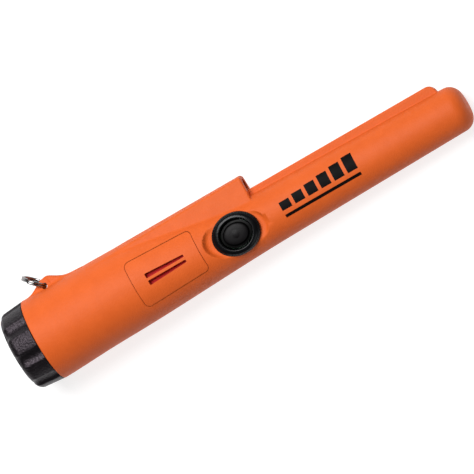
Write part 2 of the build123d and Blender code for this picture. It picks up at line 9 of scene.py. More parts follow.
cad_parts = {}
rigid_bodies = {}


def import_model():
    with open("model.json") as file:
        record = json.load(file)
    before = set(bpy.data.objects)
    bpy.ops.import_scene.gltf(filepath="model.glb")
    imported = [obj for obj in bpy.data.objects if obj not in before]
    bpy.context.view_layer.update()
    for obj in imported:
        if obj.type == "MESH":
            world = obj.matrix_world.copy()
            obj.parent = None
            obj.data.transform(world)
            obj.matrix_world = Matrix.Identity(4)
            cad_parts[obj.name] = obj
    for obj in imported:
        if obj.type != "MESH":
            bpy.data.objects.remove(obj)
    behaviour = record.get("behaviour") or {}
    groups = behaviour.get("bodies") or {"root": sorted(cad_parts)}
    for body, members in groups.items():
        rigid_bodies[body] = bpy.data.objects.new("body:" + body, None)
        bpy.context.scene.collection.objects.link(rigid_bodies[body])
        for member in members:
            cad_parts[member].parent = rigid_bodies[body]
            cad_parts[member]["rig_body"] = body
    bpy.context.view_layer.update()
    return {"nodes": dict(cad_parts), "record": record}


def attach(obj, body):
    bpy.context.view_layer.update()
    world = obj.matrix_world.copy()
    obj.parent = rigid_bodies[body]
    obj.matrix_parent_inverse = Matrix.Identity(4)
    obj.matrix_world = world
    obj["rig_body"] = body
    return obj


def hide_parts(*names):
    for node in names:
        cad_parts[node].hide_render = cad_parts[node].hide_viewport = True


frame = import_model()
nodes = frame["nodes"]

MM = 0.001

# Handle and probe tube, in millimetres in the row frame
LENGTH = 229.0
SEAM_X = 12.4
REAR_RADIUS = 19.5
REAR_TAPER = 0.020
REAR_LIFT = 0.6
REAR_LIFT_END = 42.0
REAR_EDGE = 0.45
PROBE_Y = -2.9
TIP_RADIUS = 10.65
TIP_EDGE = 6.0
PROBE_TAPER = 0.0176
BLEND_START = 50.0
BLEND_END = 134.0

# Spine, blade and lanyard loop on the +Y side
SPINE_REAR = 46.0
SPINE_FRONT = 125.6
SPINE_TOP = 19.5
SPINE_SINK = 0.15
SPINE_CROWN = 19.0
SPINE_REAR_HALF = 8.9
SPINE_FRONT_HALF = 5.5
SPINE_DRAFT = 0.17
SPINE_EDGE = 0.8
SPINE_SINK_LENGTH = 24.0
CREASE = 0.7
BLADE_TOP = 12.15
BLADE_END = 220.3
BLADE_END_RADIUS = 4.3
BLADE_HALF = 1.75
BLADE_EDGE = 0.5
BLADE_DRAFT = 0.04
BLADE_CREASE = 0.35
LOOP_START = 16.9
LOOP_START_TOP = 19.2
LOOP_RISE = 0.56
LOOP_PEAK = 27.4
LOOP_END = 42.0
LOOP_TOP = 24.4
LOOP_CREST = 0.55
LOOP_CREST_CUT = 0.15
LOOP_SOFTNESS = 0.8
LOOP_FOOT = 18.65
LOOP_HOLLOW = 2.2
LOOP_SINK = 0.2
LOOP_TAIL = 8.0
LOOP_HALF = 2.45
LOOP_EDGE = 1.1
LOOP_EDGE_SHARE = 0.85
LOOP_DRAFT = 0.05
LOOP_CREASE = 1.3
EYE_X = 25.4
EYE_Y = 20.4
EYE_RADIUS = 1.4
EYELET_RADIUS = 3.0
EYELET_PROUD = 0.55
EYELET_EDGE = 0.5

# Dish, bezel and power button
BUTTON_X = 112.8
BUTTON_Y = -2.0
DISH_X = 14.2
DISH_Y = 9.7
DISH_SLOPE = 0.35
DISH_SLANT = 0.07
DISH_LEAN = 0.055
DISH_FLOOR = 11.0
DISH_FILLET = 1.1
DISH_RIM = 0.4
BEZEL_HOLE = (9.4, 8.0)

# Speaker cover
PANEL_REAR = 62.6
PANEL_FRONT = 95.0
PANEL_Y = 0.1
PANEL_REAR_WIDTH = 22.0
PANEL_FRONT_WIDTH = 19.6
PANEL_CORNER = 2.2
PANEL_GAP = 0.24
PANEL_THICK = 1.6
PANEL_LEDGE = 1.6
SLOT_REAR = 69.2
SLOT_FRONT = 88.2
SLOT_REAR_Y = (0.62, 2.85)
SLOT_FRONT_Y = (0.66, 1.85)
SLOT_CORNER = 0.3

# Threaded rear bore
BORE_RADIUS = 17.0
BORE_END = 22.0
THREAD_PITCH = 2.5
THREAD_DEPTH = 0.35
THREAD_CREST = 1.6
THREAD_FLANK = 4.4
BORE_THREAD_REAR = 1.6
BORE_THREAD_RUNOUT = 0.6
BORE_CHAMFER = 0.3
WALL = 2.1
TIP_WALL = 3.4

# Meshing
ON_SURFACE = 1e-6
ABOVE = 40.0


# ---------------------------------------------------------------- shape fields


def smooth_step(x, start, end):
    share = np.clip((x - start) / (end - start), 0.0, 1.0)
    return share * share * (3.0 - 2.0 * share)


def handle_circle(x):
    """Centre y and radius of the handle's round section at x."""
    blend = smooth_step(x, BLEND_START, BLEND_END)
    rear = REAR_RADIUS - REAR_TAPER * (x - SEAM_X)
    probe = TIP_RADIUS + PROBE_TAPER * (LENGTH - TIP_EDGE - x)
    lift = REAR_LIFT * smooth_step(x, SEAM_X, REAR_LIFT_END)
    return lift * (1.0 - blend) + PROBE_Y * blend, rear * (1.0 - blend) + probe * blend


def round_and(edge, *fields):
    """Intersection of solids with its outer edges rounded."""
    fields = np.broadcast_arrays(*fields)
    over = np.sqrt(sum(np.maximum(field + edge, 0.0) ** 2 for field in fields))
    return np.minimum(np.maximum.reduce(fields), -edge) + over


def round_or(edge, a, b):
    """Union of two solids with the crease between them filled."""
    under = np.sqrt(np.maximum(edge - a, 0.0) ** 2 + np.maximum(edge - b, 0.0) ** 2)
    return np.maximum(np.minimum(a, b), edge) - under


def tube_field(x, y, z):
    centre, radius = handle_circle(x)
    side = np.hypot(y - centre, z) - radius
    tip = round_and(TIP_EDGE, side, x - LENGTH)
    return round_and(REAR_EDGE, tip, SEAM_X - x)


def spine_field(x, y, z):
    share = np.clip((x - SPINE_REAR) / (SPINE_FRONT - SPINE_REAR), 0.0, 1.0)
    top = SPINE_TOP - SPINE_SINK * (1.0 - smooth_step(x, SPINE_REAR, SPINE_REAR + SPINE_SINK_LENGTH))
    half = SPINE_REAR_HALF + (SPINE_FRONT_HALF - SPINE_REAR_HALF) * share
    crown = np.hypot(y - (top - SPINE_CROWN), z) - SPINE_CROWN
    flank = np.abs(z) - half - SPINE_DRAFT * (SPINE_TOP - y)
    body = round_and(SPINE_EDGE, crown, flank, x - SPINE_FRONT)
    return np.maximum(body, np.maximum(SPINE_REAR - x, -y))


def blade_field(x, y, z):
    bend = BLADE_END - BLADE_END_RADIUS
    beyond = np.maximum(x - bend, 0.0)
    rise = np.maximum(y - (BLADE_TOP - BLADE_END_RADIUS), 0.0)
    outline = np.where(x > bend, np.hypot(beyond, rise) - BLADE_END_RADIUS, y - BLADE_TOP)
    fin = round_and(BLADE_EDGE, outline, np.abs(z) - BLADE_HALF - BLADE_DRAFT * (BLADE_TOP - y))
    return np.maximum(fin, -y)


def loop_top(x):
    """Height of the lanyard loop's outline: a straight rise, a round crest, a hollow slope."""
    rise = LOOP_START_TOP + (x - LOOP_START) * LOOP_RISE
    fall = np.clip((x - LOOP_PEAK) / (LOOP_END - LOOP_PEAK), 0.0, 1.0)
    slope = LOOP_TOP + LOOP_CREST - (LOOP_TOP - LOOP_FOOT) * (1.0 - (1.0 - fall) ** LOOP_HOLLOW)
    slope -= LOOP_SINK * np.maximum(x - LOOP_END, 0.0)
    soft = LOOP_SOFTNESS
    crest = np.exp(-LOOP_TOP / soft - LOOP_CREST_CUT)
    return -soft * np.log(np.exp(-rise / soft) + np.exp(-slope / soft) + crest)


def loop_field(x, y, z):
    side = np.abs(z) - LOOP_HALF - LOOP_DRAFT * (LOOP_TOP - y)
    flap = round_and(LOOP_EDGE, (y - loop_top(x)) * LOOP_EDGE_SHARE, side)
    return np.maximum(flap, np.maximum(-y, x - SPINE_REAR - LOOP_TAIL))


def eyelet_field(x, y, z):
    ring = np.hypot(x - EYE_X, y - EYE_Y) - EYELET_RADIUS
    return round_and(EYELET_EDGE, ring, np.abs(z) - LOOP_HALF - EYELET_PROUD)


def dish_field(x, y, z):
    """The oval scoop round the button, negative inside the hollow."""
    floor = DISH_FLOOR + DISH_LEAN * (BUTTON_X - x)
    flare = DISH_SLOPE * (np.maximum(z, 0.0) - floor)
    off_axis = y - BUTTON_Y + DISH_SLANT * (x - BUTTON_X)
    share = np.hypot((x - BUTTON_X) / (DISH_X + flare), off_axis / (DISH_Y + flare))
    wall = (share - 1.0) * (DISH_Y + flare)
    return round_and(DISH_FILLET, wall, floor - z)


def outer_field(x, y, z):
    field = round_and(DISH_RIM, tube_field(x, y, z), -dish_field(x, y, z))
    field = round_or(CREASE, field, spine_field(x, y, z))
    field = round_or(BLADE_CREASE, field, blade_field(x, y, z))
    loop = round_or(EYELET_EDGE, loop_field(x, y, z), eyelet_field(x, y, z))
    field = round_or(LOOP_CREASE, field, loop)
    return np.maximum(field, SEAM_X - x)


def thread_ridge(turns):
    """Height of a thread, from 0 at its root to 1 at its crest, at a number of turns."""
    return np.clip(THREAD_CREST - THREAD_FLANK * np.abs(turns % 1.0 - 0.5), 0.0, 1.0)


# ---------------------------------------------------------------- mesh helpers


def new_object(name, vertices, faces):
    mesh = bpy.data.meshes.new(name)
    mesh.from_pydata([tuple(v) for v in vertices], [], [tuple(f) for f in faces])
    mesh.validate()
    mesh.update()
    piece = bpy.data.objects.new(name, mesh)
    bpy.context.scene.collection.objects.link(piece)
    return piece


def smooth(piece, angle=32.0):
    """Shade smooth, with edges sharper than the angle kept crisp."""
    mesh = piece.data
    mesh.polygons.foreach_set("use_smooth", [True] * len(mesh.polygons))
    mesh.set_sharp_from_angle(angle=radians(angle))


def ring_faces(rings, around, closed=False):
    """Quads between consecutive rings of the same number of points."""
    faces = []
    count = rings if closed else rings - 1
    for ring in range(count):
        a = ring * around
        b = ((ring + 1) % rings) * around
        for k in range(around):
            n = (k + 1) % around
            faces.append((a + k, a + n, b + n, b + k))
    return faces


def slab_faces(along, across):
    """Faces of a closed slab between two stacked grids of points."""
    layer = (along + 1) * (across + 1)
    faces = []
    for i in range(along):
        for j in range(across):
            a = i * (across + 1) + j
            quad = (a, a + across + 1, a + across + 2, a + 1)
            faces.append(quad)
            faces.append(tuple(layer + v for v in reversed(quad)))
    rim = [i * (across + 1) for i in range(along + 1)]
    rim += [along * (across + 1) + j for j in range(1, across + 1)]
    rim += [i * (across + 1) + across for i in range(along - 1, -1, -1)]
    rim += [j for j in range(across - 1, 0, -1)]
    for k, a in enumerate(rim):
        b = rim[(k + 1) % len(rim)]
        faces.append((a, layer + a, layer + b, b))
    return faces


def cast(x, angles, field, samples=90):
    """Outermost radius at which the field's surface is met, along rays at one x."""
    centre, radius = handle_circle(x)
    reach = LOOP_TOP + 1.5 if x < LOOP_END else SPINE_TOP + 3.5
    steps = np.linspace(reach, radius - TIP_EDGE - 3.0, samples)[:, None]
    values = field(x, centre + steps * np.cos(angles), steps * np.sin(angles))
    met = np.argmax(values <= ON_SURFACE, axis=0)
    inside = steps[met, 0]
    outside = steps[np.maximum(met - 1, 0), 0]
    for _ in range(18):
        middle = (inside + outside) / 2
        value = field(x, centre + middle * np.cos(angles), middle * np.sin(angles))
        inside = np.where(value <= ON_SURFACE, middle, inside)
        outside = np.where(value <= ON_SURFACE, outside, middle)
    return (inside + outside) / 2


def subtract(piece, cutters, mode="DIFFERENCE"):
    """Cut closed meshes out of a piece and apply the result."""
    for cutter in cutters:
        modifier = piece.modifiers.new("cut", "BOOLEAN")
        modifier.operation = mode
        modifier.solver = "EXACT"
        modifier.object = cutter
    graph = bpy.context.evaluated_depsgraph_get()
    made = bpy.data.meshes.new_from_object(piece.evaluated_get(graph))
    piece.modifiers.clear()
    old = piece.data
    piece.data = made
    bpy.data.meshes.remove(old)
    for cutter in cutters:
        bpy.data.objects.remove(cutter)


def prism(name, outline, z_low, z_high):
    """A closed prism over an outline of (x, y) points, in millimetres."""
    count = len(outline)
    vertices = [(x * MM, y * MM, z * MM) for z in (z_low, z_high) for x, y in outline]
    faces = [tuple(reversed(range(count))), tuple(range(count, 2 * count))]
    faces += [(k, (k + 1) % count, count + (k + 1) % count, count + k) for k in range(count)]
    return new_object(name, vertices, faces)


def ellipse_points(half_x, half_y, count=96):
    return [
        (BUTTON_X + half_x * cos(2 * pi * k / count), BUTTON_Y + half_y * sin(2 * pi * k / count))
        for k in range(count)
    ]


def rounded_outline(corners, radius, steps=8):
    """Round a convex outline's corners, given anticlockwise."""
    points = []
    count = len(corners)
    for k in range(count):
        here = Vector(corners[k])
        back = (Vector(corners[k - 1]) - here).normalized()
        ahead = (Vector(corners[(k + 1) % count]) - here).normalized()
        half = back.angle(ahead) / 2
        centre = here + (back + ahead).normalized() * (radius / sin(half))
        start = here + back * (radius / np.tan(half)) - centre
        end = here + ahead * (radius / np.tan(half)) - centre
        for step in range(steps + 1):
            spoke = start.lerp(end, step / steps).normalized() * radius
            points.append(tuple(centre + spoke))
    return points


def panel_outline(inset):
    rear = PANEL_REAR + inset
    front = PANEL_FRONT - inset
    rear_half = PANEL_REAR_WIDTH / 2 - inset
    front_half = PANEL_FRONT_WIDTH / 2 - inset
    corners = [
        (rear, PANEL_Y - rear_half),
        (front, PANEL_Y - front_half),
        (front, PANEL_Y + front_half),
        (rear, PANEL_Y + rear_half),
    ]
    return rounded_outline(corners, max(PANEL_CORNER - inset, 0.4))


# ---------------------------------------------------------------- housing


def angle_grid():
    """Angles round the handle, packed closely where the spine and blade are."""
    fine = np.radians(np.arange(-50.0, 50.0, 0.4))
    coarse = np.radians(np.arange(50.0, 310.0, 1.625))
    return np.concatenate([fine, coarse])


def outer_stations():
    rear_edge = SEAM_X + REAR_EDGE * (1.0 - np.cos(np.linspace(0.0, pi / 2, 6)))
    loop = np.arange(SEAM_X + 0.9, 44.0, 0.35)
    handle = np.arange(44.0, 96.0, 0.8)
    button = np.arange(96.0, SPINE_FRONT - 1.2, 0.5)
    wall = SPINE_FRONT - 0.001 - SPINE_EDGE * (1.0 - np.sin(np.linspace(0.0, pi / 2, 9)))
    after = np.arange(SPINE_FRONT + 0.004, SPINE_FRONT + 1.2, 0.15)
    probe = np.arange(SPINE_FRONT + 1.5, BLADE_END - 6.0, 1.6)
    blade = np.arange(BLADE_END - 5.0, BLADE_END + 0.8, 0.25)
    neck = np.arange(BLADE_END + 1.4, LENGTH - TIP_EDGE, 1.0)
    tip = LENGTH - TIP_EDGE * (1.0 - np.sin(np.linspace(0.0, pi / 2, 18)))
    return np.concatenate([rear_edge, loop, handle, button, wall, after, probe, blade, neck, tip])


def housing_vertices(angles):
    """Rings over the outside from rear to tip, then the inside from tip to rear."""
    stations = outer_stations()
    outer = []
    for x_value in stations:
        centre_here, _ = handle_circle(x_value)
        outer.append(section_ring(x_value, centre_here, cast(x_value, angles, outer_field), angles))
    last = outer[-1]
    hub = np.array([LENGTH, PROBE_Y, 0.0])
    cap_rings = [hub + (last - hub) * share for share in (0.75, 0.5, 0.25, 0.02)]
    inner_x = np.concatenate([np.arange(LENGTH - TIP_WALL, BORE_END + 1.0, -4.0), [BORE_END + 0.01]])
    inner = []
    for x_value in inner_x:
        centre_here, radius_here = handle_circle(x_value)
        wide = radius_here - WALL
        top = DISH_FLOOR - WALL if abs(x_value - BUTTON_X) < DISH_X + 3.0 else REAR_RADIUS
        roof = top / np.maximum(np.sin(angles), 0.01)
        inner.append(section_ring(x_value, centre_here, np.minimum(wide, roof), angles))
    first = inner[0]
    pole = first.mean(axis=0)
    inner_cap = [pole + (first - pole) * share for share in (0.02, 0.5)]
    bore = []
    for x_value in np.arange(BORE_END, SEAM_X - 0.01, -0.25):
        fade = min(max((x_value - SEAL_X - BORE_THREAD_REAR) / BORE_THREAD_RUNOUT, 0.0), 1.0)
        ridge = thread_ridge(x_value / THREAD_PITCH - angles / (2 * pi))
        width = BORE_RADIUS - THREAD_DEPTH * ridge * fade
        bore.append(section_ring(x_value, 0.0, width, angles))
    mouth = [section_ring(SEAM_X, 0.0, BORE_RADIUS + BORE_CHAMFER, angles)]
    rings = outer + cap_rings + inner_cap + inner + bore + mouth
    count = len(stations) + len(cap_rings)
    inside = len(inner_cap) + len(inner) + len(bore) + len(mouth)
    return np.concatenate(rings) * MM, count, inside


def section_ring(x, centre, radius, angles):
    x_all = np.full(len(angles), float(x))
    return np.stack([x_all, centre + radius * np.cos(angles), radius * np.sin(angles)], axis=-1)


def make_housing():
    angles = angle_grid()
    around = len(angles)
    vertices, count, inside = housing_vertices(angles)
    faces = ring_faces(count, around)
    offset = count * around
    faces += [tuple(i + offset for i in f) for f in ring_faces(inside, around)]
    tip_ring = [(count - 1) * around + k for k in range(around)]
    faces.append(tuple(reversed(tip_ring)))
    faces.append(tuple(offset + k for k in range(around)))
    mouth = offset + (inside - 1) * around
    faces += [(mouth + k, mouth + (k + 1) % around, (k + 1) % around, k) for k in range(around)]
    housing = new_object("housing_shell", vertices, faces)
    consistent(housing)
    holes = [
        prism("cut_panel", panel_outline(PANEL_LEDGE), 2.0, ABOVE),
        prism("cut_bezel", ellipse_points(*BEZEL_HOLE), 3.0, ABOVE),
        prism_eye(),
        lamp_bore(),
    ]
    subtract(housing, holes)
    pocket = panel_block("cut_pocket", -PANEL_GAP, PANEL_THICK + 0.05, 1.0)
    subtract(housing, [pocket])
    smooth(housing, 30.0)
    return housing


def consistent(piece):
    """Make all faces point outwards."""
    work = bmesh.new()
    work.from_mesh(piece.data)
    bmesh.ops.recalc_face_normals(work, faces=work.faces)
    work.to_mesh(piece.data)
    work.free()


def prism_eye():
    outline = [
        (EYE_X + EYE_RADIUS * cos(2 * pi * k / 40), EYE_Y + EYE_RADIUS * sin(2 * pi * k / 40))
        for k in range(40)
    ]
    return prism("cut_eye", outline, -12.0, 12.0)


def lathe_x(name, profile, centre_y, centre_z, around=64):
    """A closed solid turned about an axis along X, from (x, radius) points."""
    vertices = []
    for x, radius in profile:
        for k in range(around):
            turn = 2 * pi * k / around
            vertices.append(
                (x * MM, (centre_y + radius * cos(turn)) * MM, (centre_z + radius * sin(turn)) * MM)
            )
    count = len(profile)
    faces = ring_faces(count, around)
    faces.append(tuple(range(around)))
    faces.append(tuple(reversed(range((count - 1) * around, count * around))))
    piece = new_object(name, vertices, faces)
    consistent(piece)
    return piece


LAMP_Y = 14.4
LAMP_RADIUS = 3.45


def lamp_bore():
    return lathe_x("cut_lamp", [(106.5, LAMP_RADIUS), (SPINE_FRONT + 0.1, LAMP_RADIUS)], LAMP_Y, 0.0)


def panel_block(name, inset, thick, proud):
    """A closed block between two offsets of the handle's surface, inside the cover's outline."""
    outline = panel_outline(inset)
    xs = [p[0] for p in outline]
    ys = [p[1] for p in outline]
    across = 72
    along = 64
    margin = 1.0
    least_z = 2.0
    vertices = []
    for height in (proud, -thick):
        for i in range(along + 1):
            for j in range(across + 1):
                x = min(xs) - margin + (max(xs) - min(xs) + 2.0 * margin) * i / along
                y = min(ys) - margin + (max(ys) - min(ys) + 2.0 * margin) * j / across
                centre, radius = handle_circle(x)
                z = sqrt(max((radius + height) ** 2 - (y - centre) ** 2, least_z**2))
                vertices.append((x * MM, y * MM, z * MM))
    block = new_object(name, vertices, slab_faces(along, across))
    consistent(block)
    subtract(block, [prism(name + "_edge", outline, 0.0, ABOVE)], "INTERSECT")
    return block


def make_cover():
    cover = panel_block("speaker_cover_panel", 0.0, PANEL_THICK, 0.0)
    slots = []
    for side in (-1, 1):
        corners = [
            (SLOT_REAR, PANEL_Y + side * SLOT_REAR_Y[0]),
            (SLOT_FRONT, PANEL_Y + side * SLOT_FRONT_Y[0]),
            (SLOT_FRONT, PANEL_Y + side * SLOT_FRONT_Y[1]),
            (SLOT_REAR, PANEL_Y + side * SLOT_REAR_Y[1]),
        ]
        if side < 0:
            corners.reverse()
        slots.append(prism("cut_slot", rounded_outline(corners, SLOT_CORNER, 4), 5.0, ABOVE))
    subtract(cover, slots)
    smooth(cover, 30.0)
    return cover


# ---------------------------------------------------------------- battery cap

CAP_FLUTES = 8
CAP_FLUTE_ANGLE = 101.8
CAP_FLUTE_RADIUS = 4.6
CAP_FLUTE_DEPTH = 1.35
CAP_REAR_RADIUS = 18.3
CAP_FRONT_RADIUS = 19.4
CAP_FRONT = 12.2
CAP_EDGE = 3.0
CAP_FLUTE_EDGE = 0.5
CAP_LIP = 0.3
CAP_THREAD_HEIGHT = 0.42
CAP_THREAD_RUNOUT = 0.5
CAP_LANDS = (-0.45, -0.25)
CAP_REAR_FADE = (0.0016, 0.0026)
PLUG_RADIUS = 16.4
PLUG_END = 20.4
PLUG_HOLLOW = 14.2
PLUG_CHAMFER = 0.6
PLUG_LIP = 0.3
CAP_FLOOR = 3.6
SEAL_X = 14.9
SEAL_HALF = 0.9
SEAL_GROOVE = 15.6


def cap_field(x, radius, angles):
    base = CAP_REAR_RADIUS + (CAP_FRONT_RADIUS - CAP_REAR_RADIUS) * x / CAP_FRONT
    step = 2 * pi / CAP_FLUTES
    fold = (angles - radians(CAP_FLUTE_ANGLE) + step / 2) % step - step / 2
    reach = base + CAP_FLUTE_RADIUS - CAP_FLUTE_DEPTH
    flute = CAP_FLUTE_RADIUS - np.hypot(radius * np.cos(fold) - reach, radius * np.sin(fold))
    grip = round_and(CAP_FLUTE_EDGE, radius - base, flute)
    return round_and(CAP_LIP, round_and(CAP_EDGE, grip, -x), x - CAP_FRONT)


def make_cap():
    around = 480
    angles = np.arange(around) * 2 * pi / around
    outer_x = np.concatenate(
        [
            CAP_EDGE * (1.0 - np.cos(np.linspace(0.0, pi / 2, 14)[1:])),
            np.linspace(CAP_EDGE + 0.4, CAP_FRONT - 0.4, 20),
            CAP_FRONT - CAP_LIP + CAP_LIP * np.sin(np.linspace(0.0, pi / 2, 5)),
        ]
    )
    x = outer_x[:, None]
    radius = np.full((len(outer_x), around), 21.0)
    for _ in range(60):
        radius = radius - cap_field(x, radius, angles[None, :]) * 0.8
    face = CAP_REAR_RADIUS - CAP_EDGE
    rings = [section_ring(0.0, 0.0, share * face, angles) for share in (0.02, 0.5, 1.0)]
    rings += [section_ring(value, 0.0, row, angles) for value, row in zip(outer_x, radius)]
    rings.append(section_ring(CAP_FRONT, 0.0, PLUG_RADIUS, angles))
    for value, wide in (
        (SEAL_X - SEAL_HALF, PLUG_RADIUS),
        (SEAL_X - SEAL_HALF, SEAL_GROOVE),
        (SEAL_X + SEAL_HALF, SEAL_GROOVE),
        (SEAL_X + SEAL_HALF, PLUG_RADIUS),
    ):
        rings.append(section_ring(value, 0.0, wide, angles))
    thread_start = SEAL_X + SEAL_HALF + 0.2
    thread_end = PLUG_END - 0.8
    for value in np.arange(thread_start, thread_end, 0.16):
        ends = min(value - thread_start, thread_end - value)
        fade = min(max(ends / CAP_THREAD_RUNOUT, 0.0), 1.0)
        ridge = thread_ridge(value / THREAD_PITCH - angles / (2 * pi) + 0.5)
        rings.append(section_ring(value, 0.0, PLUG_RADIUS + CAP_THREAD_HEIGHT * ridge * fade, angles))
    for value, wide in (
        (PLUG_END - PLUG_CHAMFER, PLUG_RADIUS),
        (PLUG_END, PLUG_RADIUS - PLUG_CHAMFER),
        (PLUG_END, PLUG_HOLLOW + PLUG_LIP),
        (PLUG_END - PLUG_LIP, PLUG_HOLLOW),
        (CAP_FLOOR, PLUG_HOLLOW),
        (CAP_FLOOR, PLUG_HOLLOW * 0.5),
        (CAP_FLOOR, 0.3),
    ):
        rings.append(section_ring(value, 0.0, wide, angles))
    faces = ring_faces(len(rings), around)
    faces.append(tuple(reversed(range(around))))
    faces.append(tuple(range((len(rings) - 1) * around, len(rings) * around)))
    cap = new_object("battery_cap_grip", np.concatenate(rings) * MM, faces)
    consistent(cap)
    smooth(cap, 35.0)
    return cap


# ---------------------------------------------------------------- button


def oval_stack(profile, around=128):
    """Points of oval rings given as (half x, half y, z), centred on the button."""
    vertices = []
    for half_x, half_y, z in profile:
        for k in range(around):
            turn = 2 * pi * k / around
            x = BUTTON_X + half_x * cos(turn)
            y = BUTTON_Y + half_y * sin(turn)
            vertices.append((x * MM, y * MM, z * MM))
    return vertices, around


BEZEL_OUTER = (11.3, 9.6)
BEZEL_INNER = (7.6, 6.8)
BEZEL_PROFILE = [
    (0.0, 9.0), (0.0, 11.6), (0.02, 11.93), (0.06, 12.12), (0.11, 12.2), (0.16, 12.2),
    (0.19, 12.13), (0.22, 12.24), (0.27, 12.48), (0.34, 12.71), (0.42, 12.88), (0.50, 13.01),
    (0.58, 13.11), (0.66, 13.19), (0.74, 13.25), (0.82, 13.28), (0.88, 13.27), (0.93, 13.2),
    (0.965, 13.05), (0.99, 12.75), (1.0, 12.3), (1.0, 9.0),
]


def make_bezel():
    profile = []
    for share, z in BEZEL_PROFILE:
        half_x = BEZEL_OUTER[0] + (BEZEL_INNER[0] - BEZEL_OUTER[0]) * share
        half_y = BEZEL_OUTER[1] + (BEZEL_INNER[1] - BEZEL_OUTER[1]) * share
        profile.append((half_x, half_y, z))
    vertices, around = oval_stack(profile)
    faces = ring_faces(len(profile), around, closed=True)
    bezel = new_object("button_bezel_ring", vertices, faces)
    consistent(bezel)
    smooth(bezel, 40.0)
    return bezel


PAD_PROFILE = [
    (0.0, 5.2), (1.55, 5.2), (1.6, 5.3), (1.6, 10.6), (7.15, 10.6), (7.25, 10.7), (7.25, 11.0),
    (7.1, 11.05), (6.3, 11.06), (6.15, 11.15), (6.05, 11.45), (5.82, 11.8), (5.66, 12.06),
    (5.3, 12.26), (4.4, 12.46), (3.4, 12.57), (2.5, 12.63), (1.9, 12.66), (1.5, 12.70),
    (1.15, 12.76), (0.8, 12.81), (0.4, 12.84), (0.0, 12.85),
]
PAD_NARROWING = 1.1
PAD_POLE = 0.02
STEM_RADIUS = 1.6
CROWN_X = 5.9
CROWN_Y = 4.8


def make_pad():
    """The travelling pad: flange, domed crown, centre nib and stem."""
    profile = []
    for half, z in PAD_PROFILE:
        half_y = half - PAD_NARROWING * (half / CROWN_X) if half > STEM_RADIUS else half
        profile.append((max(half, PAD_POLE), max(half_y, PAD_POLE), z))
    vertices, around = oval_stack(profile)
    faces = ring_faces(len(profile), around)
    faces.append(tuple(reversed(range(around))))
    faces.append(tuple(range((len(profile) - 1) * around, len(profile) * around)))
    pad = new_object("power_button_pad", vertices, faces)
    consistent(pad)
    smooth(pad, 40.0)
    return pad


# ---------------------------------------------------------------- split ring

RING_ANGLE = 133.0
RING_RADIUS = 5.5
RING_WIRE = 0.52
RING_TURNS = 2.0
RING_SLACK = 0.35
RING_CROSSING = (0.86, 1.14)
RING_END_TURN = 0.18


def tube_mesh(name, path, radius, around=20):
    """A closed round wire along a list of points."""
    points = [Vector(p) for p in path]
    vertices = []
    side = None
    for k, point in enumerate(points):
        ahead = points[min(k + 1, len(points) - 1)] - points[max(k - 1, 0)]
        ahead.normalize()
        if side is None:
            side = ahead.orthogonal().normalized()
        side = (side - ahead * side.dot(ahead)).normalized()
        other = ahead.cross(side)
        for j in range(around):
            turn = 2 * pi * j / around
            vertices.append(point + side * (radius * cos(turn)) + other * (radius * sin(turn)))
    count = len(points)
    faces = ring_faces(count, around)
    faces.append(tuple(reversed(range(around))))
    faces.append(tuple(range((count - 1) * around, count * around)))
    wire = new_object(name, vertices, faces)
    consistent(wire)
    smooth(wire, 50.0)
    return wire


def make_split_ring():
    out = Vector((cos(radians(RING_ANGLE)), sin(radians(RING_ANGLE)), 0.0))
    axis = Vector((sin(radians(RING_ANGLE)), -cos(radians(RING_ANGLE)), 0.0))
    up = Vector((0.0, 0.0, 1.0))
    centre = Vector((EYE_X, EYE_Y, 0.0)) + out * (RING_RADIUS - RING_SLACK)
    path = []
    steps = 220
    for k in range(steps + 1):
        turns = RING_TURNS * k / steps
        shift = -1.0 + 2.0 * float(smooth_step(turns, *RING_CROSSING))
        angle = 2 * pi * (turns + RING_END_TURN)
        spoke = out * cos(angle) + up * sin(angle)
        path.append((centre + spoke * RING_RADIUS + axis * (shift * RING_WIRE)) * MM)
    return tube_mesh("split_ring_coil", path, RING_WIRE * MM)


# ---------------------------------------------------------------- materials


def material(name):
    made = bpy.data.materials.new(name)
    made.use_nodes = True
    tree = made.node_tree
    shader = tree.nodes["Principled BSDF"]
    return made, tree, shader


def noise(tree, scale, detail=2.0, rough=0.5):
    where = tree.nodes.new("ShaderNodeTexCoord")
    node = tree.nodes.new("ShaderNodeTexNoise")
    node.inputs["Scale"].default_value = scale
    node.inputs["Detail"].default_value = detail
    node.inputs["Roughness"].default_value = rough
    tree.links.new(where.outputs["Object"], node.inputs["Vector"])
    return node.outputs["Fac"]


def ramp(tree, value, low, high, positions=(0.3, 0.7)):
    node = tree.nodes.new("ShaderNodeValToRGB")
    node.color_ramp.elements[0].position = positions[0]
    node.color_ramp.elements[1].position = positions[1]
    node.color_ramp.elements[0].color = (*low, 1.0)
    node.color_ramp.elements[1].color = (*high, 1.0)
    tree.links.new(value, node.inputs["Fac"])
    return node.outputs["Color"]


def map_range(tree, value, low, high):
    node = tree.nodes.new("ShaderNodeMapRange")
    node.inputs["To Min"].default_value = low
    node.inputs["To Max"].default_value = high
    tree.links.new(value, node.inputs["Value"])
    return node.outputs["Result"]


def bump(tree, shader, height, strength, distance):
    node = tree.nodes.new("ShaderNodeBump")
    node.inputs["Strength"].default_value = strength
    node.inputs["Distance"].default_value = distance
    tree.links.new(height, node.inputs["Height"])
    tree.links.new(node.outputs["Normal"], shader.inputs["Normal"])


